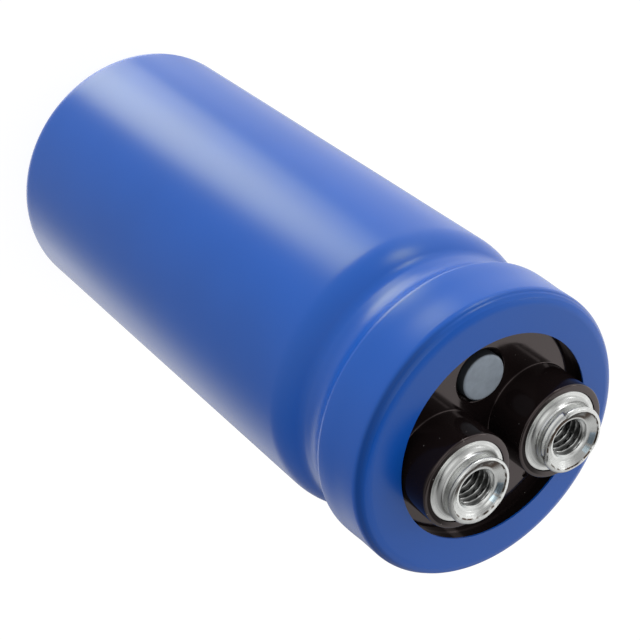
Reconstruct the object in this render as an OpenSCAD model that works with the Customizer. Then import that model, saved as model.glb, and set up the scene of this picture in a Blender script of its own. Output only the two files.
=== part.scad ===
// Screw-terminal electrolytic capacitor in a heat-shrunk sleeve.
// It stands on its base, centred on the origin, with the terminals up and in line along X.

/* [Can] */
// Outer diameter of the drawn can
can_d = 34.9; // [34.3:0.1:45]
// Height of the can, from its base to the top of its curled rim
can_h = 80.4; // [56:0.1:140]
// Thickness of the can's wall
can_wall = 0.5; // [0.3:0.05:0.8]
// Thickness of the can's base
can_base = 0.8; // [0.5:0.1:1.5]
// Outer radius of the edge between base and wall
base_edge_r = 2.4; // [1.5:0.1:3]
// Outer radius of the corner where the rim turns in
rim_corner_r = 1.5; // [1:0.1:2.2]
// Outer radius of the curled lip that bites into the gasket
curl_r = 0.9; // [0.7:0.05:1.2]
// Radial width of the curled rim, from the wall to the lip's inner end
curl_reach = 3.15; // [2.8:0.05:3.4]

/* [Bead] */
// Distance from the can's top down to the upper end of the bead
bead_drop = 7.3; // [6:0.1:9]
// Depth of the bead in the can's wall
bead_depth = 1.4; // [1.2:0.05:1.9]
// Radius of the long shoulder where the wall turns into the bead
shoulder_r = 7; // [6:0.5:12]
// Radius of the hollow between the shoulder and the bead's bottom
slope_r = 3; // [2.5:0.5:7]
// Height of the bead's straight bottom
bead_flat = 2.8; // [0.4:0.1:3.5]
// Radius of the tight hollow at the bead's upper end
bead_r = 1.3; // [1.2:0.1:1.6]
// Radius of the sharper edge above the bead
bead_edge_r = 0.8; // [0.7:0.05:1.2]

/* [Sleeve] */
// Thickness of the shrunk sleeve
sleeve_t = 0.2; // [0.1:0.05:0.5]
// Width of the sleeve's fold under the base
base_fold = 5; // [3.5:0.1:8]

/* [Deck] */
// Depth of the deck below the sleeve's top face
deck_drop = 1.6; // [1.2:0.1:2.5]
// Height of the deck's bevel below its seat on the bead
seat_under = 0.5; // [0.2:0.05:1.5]
// Width of the deck's raised ring round the recess
deck_ring_w = 1.3; // [1:0.05:1.6]
// Gap between the deck's raised ring and the curled lip
lip_gap = 0.4; // [0.2:0.05:0.6]
// Thickness of the gasket under the curl
gasket_t = 3.1; // [2.6:0.1:4]
// Running clearance between the deck's edge and the can's wall
deck_gap = 0.1; // [0.05:0.05:0.2]
// Distance from the recess wall to the centre of the dimple beside the right pillar
dimple_inset = 2.27; // [1.8:0.01:2.6]
// Direction of the dimple from the can's axis, in degrees
dimple_turn = -58.4; // [-62:0.1:-55]
// Radius of that dimple
dimple_r = 0.45; // [0.3:0.05:0.6]
// Depth of the dimple
dimple_depth = 0.3; // [0.2:0.05:0.5]

/* [Terminals] */
// Distance between the two terminals
terminal_pitch = 12.7; // [12:0.1:13.1]
// Diameter of a pillar of the deck
pillar_d = 11.4; // [11.2:0.1:11.8]
// Height of a pillar above the sunk face of the deck
pillar_h = 5.25; // [3:0.05:8]
// Depth of the pocket in the pillar's top, in which the flange lies
pocket_depth = 0.35; // [0.2:0.05:0.8]
// Gap between the flange and the pocket's wall
pocket_gap = 0.25; // [0.1:0.05:0.3]
// Diameter of a terminal's flange
flange_d = 9.7; // [9.4:0.1:9.9]
// Thickness of the flange
flange_t = 0.25; // [0.15:0.01:0.5]
// Diameter of the post's waist
post_d = 7.4; // [7:0.1:7.6]
// Height of the post above the pillar
post_h = 2.02; // [1.9:0.02:4]
// Diameter of the turned lip at the top of the post
lip_d = 8; // [7.8:0.1:8.4]
// Diameter of the dished mouth inside the lip
dish_d = 7; // [6.2:0.1:7.2]
// Depth of the dish, from the lip's top to the countersink
dish_depth = 0.55; // [0.3:0.05:0.8]
// Radius of the tapped hole's wall, at the crests of its thread
thread_r = 2.02; // [1.6:0.01:2.2]
// Width of the countersink round the hole
countersink = 0.5; // [0.2:0.05:0.6]
// Metal left between the tip of the hole and the end of the shank
blind_wall = 1; // [0.6:0.1:3]
// Width across the flats of the hexagon that stops the terminal turning
hex_af = 7.6; // [7.2:0.1:8]
// Depth of that hexagon below the flange
hex_depth = 2.2; // [1.5:0.1:3]
// Diameter of the shank below the hexagon
shank_d = 6.4; // [6:0.1:6.8]
// Radius of the sealing grooves round the shank
seal_r = 0.35; // [0.2:0.05:0.45]
// Diameter of the stub that passes the deck's underside
stub_d = 3.6; // [3:0.1:4.4]
// Thickness of the deck under the shank
stub_wall = 2.9; // [2.4:0.1:3.2]
// Diameter of the staked head below the washer
head_d = 5.2; // [4.8:0.1:6]
// Height of the staked head
head_h = 0.8; // [0.6:0.05:1.2]
// Diameter of the washer on the stub
washer_d = 6.4; // [6:0.1:7.4]
// Thickness of the washer
washer_t = 0.8; // [0.5:0.1:1.2]

/* [Vent] */
// Distance from the can's axis to the vent
vent_y = 7.85; // [7:0.05:9]
// Diameter of the plug's head
plug_d = 5.5; // [5.2:0.05:5.9]
// Height of the plug's head above the deck
plug_proud = 0.65; // [0.3:0.05:1]
// Radius of the plug's rounded edge
plug_edge_r = 0.35; // [0.1:0.05:0.5]
// Gap between the plug's head and its seat
plug_gap = 0.4; // [0.1:0.05:0.5]
// Depth of the seat in the deck
seat_depth = 1.6; // [1:0.1:2.5]
// Diameter of the vent hole under the seat
vent_d = 3.8; // [3:0.1:4.2]
// Height of the plug's barb below the deck
barb_h = 1.4; // [1:0.1:2]
// Reach of the barb past the vent hole
barb_reach = 0.5; // [0.3:0.05:0.7]

/* [Winding] */
// Gap between the winding's tape and the can's wall
winding_gap = 0.8; // [0.4:0.05:2]
// Height left between the winding and the start of the bead's shoulder
headroom = 1.5; // [1:0.1:3]
// Diameter of the winding's core hole
core_d = 4.4; // [3:0.1:6]
// Thickness of the closing tape
tape_t = 0.15; // [0.1:0.05:0.3]
// Width of the closing tape
tape_w = 24; // [10:1:36]
// Thickness of the disc under the winding
base_disc_t = 0.8; // [0.5:0.1:1.5]
// Thickness of the disc on top of the winding
top_disc_t = 0.6; // [0.4:0.1:1]
// Width of a tab
tab_w = 6; // [4:0.5:7]
// Thickness of a tab
tab_t = 0.3; // [0.2:0.05:0.4]
// Distance from the axis to where a tab leaves the winding
tab_exit = 4.4; // [3.6:0.1:5.5]
// Inner radius of the bend where a tab turns outwards
tab_bend_r = 0.9; // [0.6:0.1:1.2]
// Height of a tab's straight rise above the top disc
tab_rise = 2.4; // [1.5:0.1:3.5]
// Gap between a tab's turn and the inside of the bead
tab_gap = 2.4; // [1.5:0.1:2.6]

/* [Hidden] */
$fn = 96;
can_r = can_d / 2;
can_z = sleeve_t;
can_top = can_z + can_h;
top_z = can_top + sleeve_t;
inner_r = can_r - can_wall;
floor_z = can_z + can_base;
arc_steps = 10;

// Centres of the bead's four arcs, downwards: each touches the next, or the straight bottom
edge_c = [can_r - bead_edge_r, can_top - bead_drop];
hollow_c = [
    can_r - bead_depth + bead_r,
    edge_c.y - tangent_rise(bead_r + bead_edge_r, can_r - bead_depth + bead_r - edge_c.x)
];
slope_c = [can_r - bead_depth + slope_r, hollow_c.y - bead_flat];
shoulder_c = [
    can_r - shoulder_r,
    slope_c.y - tangent_rise(slope_r + shoulder_r, slope_c.x - can_r + shoulder_r)
];
shoulder_turn = atan2(slope_c.y - shoulder_c.y, slope_c.x - shoulder_c.x);
edge_turn = atan2(edge_c.y - hollow_c.y, hollow_c.x - edge_c.x);

// Centre and end of the curl at the can's mouth
curl_c = [can_r - curl_reach + curl_r, can_top - curl_r];

// Deck, gasket and seats
deck_z = top_z - deck_drop;
deck_r = inner_r - deck_gap;
ring_r = can_r - curl_reach - lip_gap;
recess_r = ring_r - deck_ring_w;
gasket_z = can_top - can_wall - gasket_t;
gasket_rise = 0.3;
seat_r = bead_r + can_wall + deck_gap;
seat = hollow_c + seat_r * [-cos(45), sin(45)];
deck_under = seat.y - seat_under;
dimple_at = (recess_r - dimple_inset) * [cos(dimple_turn), sin(dimple_turn)];
cut = 1;

// Terminals, from the pillar's top down
pillar_z = deck_z + pillar_h;
post_z = pillar_z + post_h;
flange_z = pillar_z - pocket_depth;
mouth_z = post_z - dish_depth;
thread_z = mouth_z - countersink;
shank_z = deck_under + stub_wall;
hex_z = flange_z - hex_depth;
tip_z = shank_z + blind_wall;
drill_z = tip_z + thread_r * tan(30);
tab_z = deck_under - tab_t;
washer_z = tab_z - washer_t;
lip_h = 0.45;
lip_flare = 1.05;
lip_round = 0.15;
lip_in = 0.12;
flange_fillet = 0.65;
flange_edge = 0.1;
fillet_c = [post_d / 2 + flange_fillet, flange_z + flange_t + flange_fillet];
pillar_edge = 0.2;
barb_taper = 0.4;
barb_edge = 0.3;
poles = [for (s = [-1, 1]) [s * terminal_pitch / 2, 0]];

// Winding and discs
winding_z = floor_z + base_disc_t;
winding_top = shoulder_c.y - headroom;
winding_r = inner_r - winding_gap - tape_t;
disc_gap = 0.3;
base_corner_r = max(base_edge_r - can_base, 0.2);
base_disc_r = inner_r - base_corner_r - disc_gap;
slot_gap = 0.25;
tab_slot = [tab_t + 2 * slot_gap, tab_w + 2 * slot_gap, top_disc_t + 2 * cut];
tab_run_z = winding_top + top_disc_t + tab_rise + tab_bend_r;
tab_turn_r = (tab_z - tab_run_z - tab_t) / 2;
tab_turn_x = can_r - bead_depth - can_wall - tab_gap - tab_t - tab_turn_r;
tab_end_x = poles[1].x - washer_d / 2;
tab_flat = max(tab_turn_x - tab_end_x, washer_d);

// How far one arc's centre lies above the next when the two arcs touch
function tangent_rise(reach, across) = sqrt(reach * reach - across * across);

// Points along an arc, from one angle to another
function arc(c, r, from, to, steps = arc_steps) = [
    for (i = [0 : steps]) c + r * [cos(from + (to - from) * i / steps), sin(from + (to - from) * i / steps)]
];

// The can's outer surface moved outwards by off, from the base edge to the rim's top
function skin(off) = concat(
    arc([can_r - base_edge_r, can_z + base_edge_r], base_edge_r + off, -90, 0),
    arc(shoulder_c, shoulder_r + off, 0, shoulder_turn),
    arc(slope_c, slope_r - off, 180 + shoulder_turn, 180),
    arc(hollow_c, bead_r - off, 180, 180 - edge_turn),
    arc(edge_c, bead_edge_r + off, -edge_turn, 0),
    arc([can_r - rim_corner_r, can_top - rim_corner_r], rim_corner_r + off, 0, 90)
);

// The inside of the can's wall, whose base corner has its own radius
function inside() = concat(
    arc([inner_r - base_corner_r, floor_z + base_corner_r], base_corner_r, -90, 0),
    arc(shoulder_c, shoulder_r - can_wall, 0, shoulder_turn),
    arc(slope_c, slope_r + can_wall, 180 + shoulder_turn, 180),
    arc(hollow_c, bead_r + can_wall, 180, 180 - edge_turn),
    arc(edge_c, bead_edge_r - can_wall, -edge_turn, 0),
    arc([can_r - rim_corner_r, can_top - rim_corner_r], rim_corner_r - can_wall, 0, 90)
);

function backwards(path) = [for (i = [len(path) - 1 : -1 : 0]) path[i]];

module revolve(path) rotate_extrude() polygon(path);

// Shrunk sleeve: base fold, wall, groove, rim corner and top face in one film
module insulating_sleeve() {
    color([0.24, 0.37, 0.70])
        revolve(concat(
            [[can_r - base_fold, can_z], [can_r - base_fold, 0]],
            skin(sleeve_t),
            [[recess_r, top_z], [recess_r, can_top]],
            backwards(skin(0))
        ));
}

// Drawn can with its bead, and its mouth curled down into the gasket
module can() {
    color([0.80, 0.81, 0.82])
        revolve(concat(
            [[0, floor_z], [0, can_z]],
            skin(0),
            arc(curl_c, curl_r, 90, 180),
            backwards(arc(curl_c, curl_r - can_wall, 90, 180)),
            backwards(inside())
        ));
}

// Header moulding: seat on the bead, gasket shoulder, recess ring, pillars and vent seat
module terminal_deck() {
    color([0.09, 0.08, 0.08])
        difference() {
            union() {
                revolve([
                    [0, deck_under],
                    [seat.x - seat_under, deck_under],
                    [deck_r, seat.y + deck_r - seat.x],
                    [deck_r, gasket_z],
                    [ring_r, gasket_z],
                    [ring_r, can_top],
                    [recess_r, can_top],
                    [recess_r, deck_z],
                    [0, deck_z]
                ]);
                intersection() {
                    for (pole = poles) translate(pole) pillar();
                    cylinder(r = ring_r, h = post_z);
                }
            }
            for (pole = poles) translate(pole) {
                shank();
                translate([0, 0, flange_z])
                    cylinder(d = flange_d + 2 * pocket_gap, h = pocket_depth + cut);
                translate([0, 0, deck_under - cut])
                    cylinder(d = stub_d, h = stub_wall + blind_wall + cut);
            }
            translate([0, vent_y, deck_z - seat_depth])
                cylinder(d = plug_d + 2 * plug_gap, h = seat_depth + cut);
            translate([0, vent_y, deck_under - cut])
                cylinder(d = vent_d, h = deck_z - deck_under);
            translate([dimple_at.x, dimple_at.y, deck_z - dimple_depth])
                cylinder(r = dimple_r, h = dimple_depth + cut);
        }
}

// Round pillar with a small chamfer at its top
module pillar() {
    r = pillar_d / 2;
    revolve([
        [0, deck_z - cut],
        [r, deck_z - cut],
        [r, pillar_z - pillar_edge],
        [r - pillar_edge, pillar_z],
        [0, pillar_z]
    ]);
}

// The part of a terminal that the deck is moulded round: hexagon, shank and sealing grooves
module shank() {
    translate([0, 0, hex_z])
        cylinder(d = hex_af / cos(30), h = hex_depth + flange_t / 2, $fn = 6);
    difference() {
        translate([0, 0, shank_z]) cylinder(d = shank_d, h = flange_z - shank_z);
        for (i = [1 : 2])
            translate([0, 0, shank_z + i * (hex_z - shank_z) / 3])
                rotate_extrude() translate([shank_d / 2, 0]) circle(r = seal_r);
    }
}

// Rubber ring under the curl, squeezed round the can's lip
module rim_gasket() {
    bite = asin(gasket_rise / curl_r);
    color([0.12, 0.12, 0.13])
        revolve(concat(
            [[ring_r, gasket_z], [inner_r, gasket_z]],
            arc([can_r - rim_corner_r, can_top - rim_corner_r], rim_corner_r - can_wall, 0, 90),
            arc(curl_c, curl_r - can_wall, 90, 180),
            backwards(arc(curl_c, curl_r, 180 - bite, 180)),
            [[ring_r, curl_c.y + gasket_rise]]
        ));
}

// Turned terminal: dished and tapped post, flange, shank in the deck and staked stub
module terminal() {
    color([0.83, 0.83, 0.82])
        difference() {
            union() {
                revolve(concat(
                    [[0, flange_z], [flange_d / 2, flange_z]],
                    [[flange_d / 2, flange_z + flange_t - flange_edge]],
                    [[flange_d / 2 - flange_edge, flange_z + flange_t]],
                    arc(fillet_c, flange_fillet, 270, 180),
                    [[post_d / 2, post_z - lip_h - lip_flare]],
                    [[lip_d / 2, post_z - lip_h]],
                    arc([lip_d / 2 - lip_round, post_z - lip_round], lip_round, 0, 90, 4),
                    [[dish_d / 2 + lip_in, post_z]],
                    [[dish_d / 2, post_z - lip_in]],
                    [[thread_r + countersink, mouth_z]],
                    [[0, mouth_z]]
                ));
                shank();
                revolve([
                    [0, washer_z - head_h],
                    [head_d / 2 - head_h / 2, washer_z - head_h],
                    [head_d / 2, washer_z - head_h / 2],
                    [head_d / 2, washer_z],
                    [stub_d / 2, washer_z],
                    [stub_d / 2, tip_z],
                    [0, tip_z]
                ]);
            }
            revolve([
                [0, tip_z],
                [thread_r, drill_z],
                [thread_r, thread_z],
                [thread_r + countersink + cut, mouth_z + cut],
                [0, mouth_z + cut]
            ]);
        }
}

module left_terminal() translate(poles[0]) terminal();

module right_terminal() translate(poles[1]) terminal();

// Rubber vent plug: round head, stem in the vent hole and barb under the deck
module vent_plug() {
    head_r = plug_d / 2;
    stem_r = vent_d / 2;
    head_z = deck_z + plug_proud;
    color([0.49, 0.52, 0.55])
        translate([0, vent_y])
            revolve(concat(
                [[0, deck_under - barb_h], [stem_r - barb_taper, deck_under - barb_h]],
                [[stem_r + barb_reach, deck_under - barb_edge], [stem_r + barb_reach, deck_under]],
                [[stem_r, deck_under], [stem_r, deck_z - seat_depth]],
                [[head_r, deck_z - seat_depth]],
                arc([head_r - plug_edge_r, head_z - plug_edge_r], plug_edge_r, 0, 90, 6),
                [[0, head_z]]
            ));
}

// Washer between a tab and the staked head
module rivet_washer() {
    color([0.74, 0.75, 0.76])
        translate([0, 0, washer_z])
            difference() {
                cylinder(d = washer_d, h = washer_t);
                translate([0, 0, -cut]) cylinder(d = stub_d, h = washer_t + 2 * cut);
            }
}

module left_rivet_washer() translate(poles[0]) rivet_washer();

module right_rivet_washer() translate(poles[1]) rivet_washer();

// Quarter ring of the tab's thickness, used for its bends
module tab_bend(c, r, turn) {
    translate(c)
        intersection() {
            difference() {
                circle(r = r + tab_t);
                circle(r = r);
            }
            rotate(turn) square(r + tab_t + cut);
        }
}

// Side view of a tab: up out of the winding, outwards, and back under the terminal
module tab_side() {
    bend_x = tab_exit + tab_t / 2 + tab_bend_r;
    turn_z = tab_run_z + tab_t + tab_turn_r;
    translate([tab_exit - tab_t / 2, winding_top])
        square([tab_t, tab_run_z - tab_bend_r - winding_top]);
    tab_bend([bend_x, tab_run_z - tab_bend_r], tab_bend_r, 90);
    translate([bend_x, tab_run_z]) square([tab_turn_x - bend_x, tab_t]);
    tab_bend([tab_turn_x, turn_z], tab_turn_r, 0);
    tab_bend([tab_turn_x, turn_z], tab_turn_r, -90);
    translate([tab_end_x, tab_z]) square([tab_flat, tab_t]);
}

// Ribbon tab with the hole for the terminal's stub
module tab() {
    color([0.78, 0.79, 0.80])
        difference() {
            rotate([90, 0]) translate([0, 0, -tab_w / 2]) linear_extrude(tab_w) tab_side();
            translate([poles[1].x, 0, tab_z - cut]) cylinder(d = stub_d, h = tab_t + 2 * cut);
        }
}

module left_tab() mirror([1, 0]) tab();

module right_tab() tab();

// Board disc on top of the winding, with a slot for each tab
module top_insulator() {
    color([0.78, 0.70, 0.55])
        translate([0, 0, winding_top])
            difference() {
                cylinder(r = winding_r, h = top_disc_t);
                translate([0, 0, -cut]) cylinder(d = core_d, h = top_disc_t + 2 * cut);
                for (x = [-tab_exit, tab_exit])
                    translate([x, 0, top_disc_t / 2]) cube(tab_slot, center = true);
            }
}

// Board disc between the winding and the can's base
module base_insulator() {
    color([0.78, 0.70, 0.55])
        translate([0, 0, floor_z]) cylinder(r = base_disc_r, h = base_disc_t);
}

// Wound foil and paper with the hole that the winding spindle leaves
module foil_winding() {
    color([0.72, 0.66, 0.54])
        translate([0, 0, winding_z])
            difference() {
                cylinder(r = winding_r, h = winding_top - winding_z);
                translate([0, 0, -cut])
                    cylinder(d = core_d, h = winding_top - winding_z + 2 * cut);
            }
}

// Tape that closes the winding round its middle
module winding_tape() {
    color([0.85, 0.80, 0.62])
        translate([0, 0, (winding_z + winding_top - tape_w) / 2])
            difference() {
                cylinder(r = winding_r + tape_t, h = tape_w);
                translate([0, 0, -cut]) cylinder(r = winding_r, h = tape_w + 2 * cut);
            }
}

insulating_sleeve();
can();
terminal_deck();
rim_gasket();
left_terminal();
right_terminal();
vent_plug();
left_rivet_washer();
right_rivet_washer();
left_tab();
right_tab();
top_insulator();
base_insulator();
foil_winding();
winding_tape();
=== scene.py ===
import logging
import math
from collections.abc import Callable
from dataclasses import dataclass, field
from enum import Enum
from typing import NamedTuple

import bmesh
import bpy
from mathutils import Matrix, Vector, noise


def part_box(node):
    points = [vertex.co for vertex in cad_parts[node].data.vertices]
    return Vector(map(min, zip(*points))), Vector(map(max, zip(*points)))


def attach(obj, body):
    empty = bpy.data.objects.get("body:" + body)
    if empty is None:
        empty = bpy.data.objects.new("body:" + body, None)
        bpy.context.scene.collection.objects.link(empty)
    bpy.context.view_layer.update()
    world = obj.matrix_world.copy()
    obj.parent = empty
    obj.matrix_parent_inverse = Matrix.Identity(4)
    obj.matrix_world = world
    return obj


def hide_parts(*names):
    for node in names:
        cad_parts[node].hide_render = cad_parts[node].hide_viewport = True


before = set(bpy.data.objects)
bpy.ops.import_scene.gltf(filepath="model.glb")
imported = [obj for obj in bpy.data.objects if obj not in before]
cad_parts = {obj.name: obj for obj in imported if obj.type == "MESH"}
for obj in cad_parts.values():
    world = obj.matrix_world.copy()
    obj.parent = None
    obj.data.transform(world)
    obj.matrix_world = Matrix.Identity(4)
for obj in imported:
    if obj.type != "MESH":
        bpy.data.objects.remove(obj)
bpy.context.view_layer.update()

log = logging.getLogger("capacitor")

Socket = bpy.types.NodeSocket
Material = bpy.types.Material
Mesh = bmesh.types.BMesh
Edges = list[bmesh.types.BMEdge]
Spot = tuple[float, float]
Triple = tuple[float, float, float]
Outline = list[Spot]
Wobble = Callable[[float, float, float], Spot]
# Scale, detail and roughness of a noise
Grain = tuple[float, float, float]
# Where a band starts, is whole, stops being whole and ends
Ends = tuple[float, float, float, float]
# A direction round an axis, and how far off it a mark ends and is whole, in degrees
Sector = tuple[float, float, float]

MM = 0.001
BODY = "root"
# Distance below which two points of a mesh are one, in metres
WELD = 1e-8
# Distance below which a point of an outline lies on the axis, in millimetres
POLE = 1e-6
# Difference of height below which two points are level, in millimetres
LEVEL = 1e-4
# Sizes that several pieces share, in millimetres
PITCH = 12.7
OFF_CENTRE = (0.3, 0.14)
VENT_AT = (0.0, 7.85)
FILM = 0.2


class Side(Enum):
    """Which of the two terminals, by its place along X."""

    LEFT = -1
    RIGHT = 1

    @property
    def label(self) -> str:
        """The side's name as the pieces use it."""
        return self.name.lower()

    @property
    def axis(self) -> Spot:
        """Where the side's terminal stands, in millimetres."""
        return (self.value * PITCH / 2, 0.0)


def node_low(name: str) -> float:
    """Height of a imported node's underside, in millimetres."""
    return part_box(name)[0].z / MM


def node_top(name: str) -> float:
    """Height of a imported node's top, in millimetres."""
    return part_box(name)[1].z / MM


def ramp(value: float, low: float, high: float) -> float:
    """Straight rise from 0 at low to 1 at high."""
    return min(1.0, max(0.0, (value - low) / (high - low)))


def smooth(value: float, low: float, high: float) -> float:
    """Smooth rise from 0 at low to 1 at high."""
    share = ramp(value, low, high)
    return share * share * (3 - 2 * share)


def arc(centre: Spot, radius: float, start: float, end: float, steps: int) -> Outline:
    """Points along an arc of an outline.

    Args:
        centre: Radius and height of the arc's centre, in millimetres.
        radius: The arc's radius.
        start: Angle of the first point, in degrees.
        end: Angle of the last point.
        steps: How many chords the arc has.

    Returns:
        The points, from start to end.
    """
    turns = [math.radians(start + (end - start) * i / steps) for i in range(steps + 1)]
    return [(centre[0] + radius * math.cos(t), centre[1] + radius * math.sin(t)) for t in turns]


def refine(outline: Outline, longest: float) -> Outline:
    """Splits the long chords of an outline.

    Args:
        outline: The outline's points, in millimetres.
        longest: The longest chord that may stay.

    Returns:
        The outline with more points on its straight stretches.
    """
    points = [outline[0]]
    for (r0, z0), (r1, z1) in zip(outline, outline[1:]):
        parts = max(1, math.ceil(math.hypot(r1 - r0, z1 - z0) / longest))
        points += [(r0 + (r1 - r0) * i / parts, z0 + (z1 - z0) * i / parts) for i in range(1, parts + 1)]
    return points


def lathe(
    mesh: Mesh,
    outline: Outline,
    around: int,
    centre: Spot = (0.0, 0.0),
    wobble: Wobble | None = None,
    closed: bool = False,
) -> None:
    """Turns an outline round a vertical axis and adds it to a mesh.

    Args:
        mesh: The mesh that takes the surface.
        outline: Radius and height of each point, in millimetres. A radius of 0 is a pole.
        around: How many faces there are round the axis.
        centre: Where the axis stands, in millimetres.
        wobble: Gives the changed radius and height of a point from its angle, radius and height.
        closed: Whether the last point joins the first.
    """
    rings = []
    for r, z in outline:
        if r < POLE:
            rings.append([mesh.verts.new((centre[0] * MM, centre[1] * MM, z * MM))])
            continue
        ring = []
        for i in range(around):
            turn = math.tau * i / around
            rr, zz = wobble(turn, r, z) if wobble else (r, z)
            x, y = centre[0] + rr * math.cos(turn), centre[1] + rr * math.sin(turn)
            ring.append(mesh.verts.new((x * MM, y * MM, zz * MM)))
        rings.append(ring)
    pairs = list(zip(rings, rings[1:]))
    if closed:
        pairs.append((rings[-1], rings[0]))
    for low, high in pairs:
        for i in range(around):
            j = (i + 1) % around
            if len(low) == 1:
                mesh.faces.new((low[0], high[j], high[i]))
            elif len(high) == 1:
                mesh.faces.new((low[i], low[j], high[0]))
            else:
                mesh.faces.new((low[i], low[j], high[j], high[i]))


def finish_mesh(mesh: Mesh, name: str, sharp: float = 32.0) -> bpy.types.Object:
    """Closes a mesh's seams, points its faces outwards and makes it an object.

    Args:
        mesh: The mesh, which is freed.
        name: The piece's name.
        sharp: Edges over this angle stay sharp, in degrees.

    Returns:
        The new object, at the origin.
    """
    bmesh.ops.remove_doubles(mesh, verts=mesh.verts, dist=WELD)
    bmesh.ops.recalc_face_normals(mesh, faces=mesh.faces)
    data = bpy.data.meshes.new(name)
    mesh.to_mesh(data)
    mesh.free()
    data.shade_smooth()
    data.set_sharp_from_angle(angle=math.radians(sharp))
    obj = bpy.data.objects.new(name, data)
    bpy.context.scene.collection.objects.link(obj)
    return obj


def place(obj: bpy.types.Object, finish: Material, slot: str, node: str) -> None:
    """Dresses a piece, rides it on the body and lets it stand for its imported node.

    Args:
        obj: The finished piece.
        finish: Its material.
        slot: The record's material slot.
        node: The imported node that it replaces.
    """
    obj.data.materials.clear()
    obj.data.materials.append(finish)
    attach(obj, BODY)
    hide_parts(node)
    log.info("%s: %d faces, slot %s, stands for %s", obj.name, len(obj.data.polygons), slot, node)


class Around(NamedTuple):
    """Where a point of a surface lies round a vertical axis."""

    flat: Socket
    radius: Socket
    height: Socket


class NodeSheet:
    """A node tree under construction, with short calls for the nodes that the finishes share."""

    def __init__(self, tree: bpy.types.NodeTree) -> None:
        """Starts from an empty tree."""
        self.tree = tree
        tree.nodes.clear()

    def feed(self, node: bpy.types.Node, **inputs: object) -> None:
        """Sets or links some inputs of a node.

        Args:
            node: The node.
            inputs: Values or sockets, by the input's name with underscores, or by i and its number.
        """
        for key, value in inputs.items():
            socket = node.inputs[int(key[1:]) if key[1:].isdigit() else key.replace("_", " ")]
            if isinstance(value, Socket):
                self.tree.links.new(value, socket)
            else:
                socket.default_value = value

    def add(self, kind: str, settings: dict[str, object] | None = None, **inputs: object) -> bpy.types.Node:
        """Adds a node.

        Args:
            kind: The node's type.
            settings: Properties of the node.
            inputs: Its inputs, as feed takes them.

        Returns:
            The node.
        """
        node = self.tree.nodes.new(kind)
        for key, value in (settings or {}).items():
            setattr(node, key, value)
        self.feed(node, **inputs)
        return node

    def math(self, operation: str, a: object, b: object = 0.0, c: object = 0.0) -> Socket:
        """Adds a Math node and gives its result."""
        return self.add("ShaderNodeMath", {"operation": operation}, i0=a, i1=b, i2=c).outputs[0]

    def product(self, first: Socket, *others: object) -> Socket:
        """Multiplies values, from left to right.

        Args:
            first: The first value.
            others: The values that it is multiplied by.

        Returns:
            The product.
        """
        for other in others:
            first = self.math("MULTIPLY", first, other)
        return first

    def vector(self, operation: str, a: object, b: object = (0, 0, 0)) -> Socket:
        """Adds a Vector Math node and gives its result."""
        node = self.add("ShaderNodeVectorMath", {"operation": operation}, i0=a, i1=b)
        return node.outputs["Value" if operation in ("LENGTH", "DOT_PRODUCT") else "Vector"]

    def step(self, value: object, low: object, high: object, start: float = 0.0,
             end: float = 1.0) -> Socket:
        """Changes smoothly from start, where the value is low, to end, where it is high."""
        return self.add("ShaderNodeMapRange", {"interpolation_type": "SMOOTHSTEP"}, Value=value,
                        From_Min=low, From_Max=high, To_Min=start, To_Max=end).outputs[0]

    def rise(self, value: object, ends: Spot) -> Socket:
        """Rises from 0 to 1 between two values in millimetres."""
        return self.step(value, ends[0] * MM, ends[1] * MM)

    def fall(self, value: object, ends: Spot) -> Socket:
        """Falls from 1 to 0 between two values in millimetres."""
        return self.step(value, ends[0] * MM, ends[1] * MM, 1.0, 0.0)

    def band(self, value: object, ends: Ends, unit: float = MM) -> Socket:
        """Gives 1 within a band and 0 outside it.

        Args:
            value: The value that the band is laid over.
            ends: The band's ends.
            unit: What the ends are multiplied by.

        Returns:
            The band's share, from 0 to 1.
        """
        low, whole, stops, high = (end * unit for end in ends)
        return self.product(self.step(value, low, whole), self.step(value, stops, high, 1.0, 0.0))

    def noise(self, where: object, grain: Grain) -> Socket:
        """Adds a Noise node on given coordinates and gives its value."""
        scale, detail, rough = grain
        return self.add("ShaderNodeTexNoise", Vector=where, Scale=scale, Detail=detail,
                        Roughness=rough).outputs["Fac"]

    def blend(self, share: object, a: object, b: object) -> Socket:
        """Mixes two colours and gives the result."""
        return self.add("ShaderNodeMix", {"data_type": "RGBA"}, i0=share, i6=a, i7=b).outputs[2]

    def bump(self, height: object, distance: float) -> Socket:
        """Adds a Bump node and gives its normal."""
        return self.add("ShaderNodeBump", Height=height, Distance=distance, Strength=1.0).outputs[0]

    def about(self, where: Socket) -> Around:
        """Splits coordinates round the vertical axis through their origin.

        Args:
            where: The coordinates.

        Returns:
            The coordinates without their height, the distance from the axis, and the height.
        """
        flat = self.vector("MULTIPLY", where, (1, 1, 0))
        height = self.add("ShaderNodeSeparateXYZ", Vector=where).outputs["Z"]
        return Around(flat, self.vector("LENGTH", flat), height)

    def facing(self, flat: object, sector: Sector, least: float = 0.0) -> Socket:
        """Marks one side of a round piece.

        Args:
            flat: Coordinates from the piece's axis, without their height.
            sector: The marked side.
            least: The value outside it.

        Returns:
            1 on the marked side and the least value elsewhere.
        """
        turn, fades, full = (math.radians(angle) for angle in sector)
        around = self.vector("NORMALIZE", flat)
        near = self.vector("DOT_PRODUCT", around, (math.cos(turn), math.sin(turn), 0.0))
        return self.step(near, math.cos(fades), math.cos(full), least, 1.0)


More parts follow.
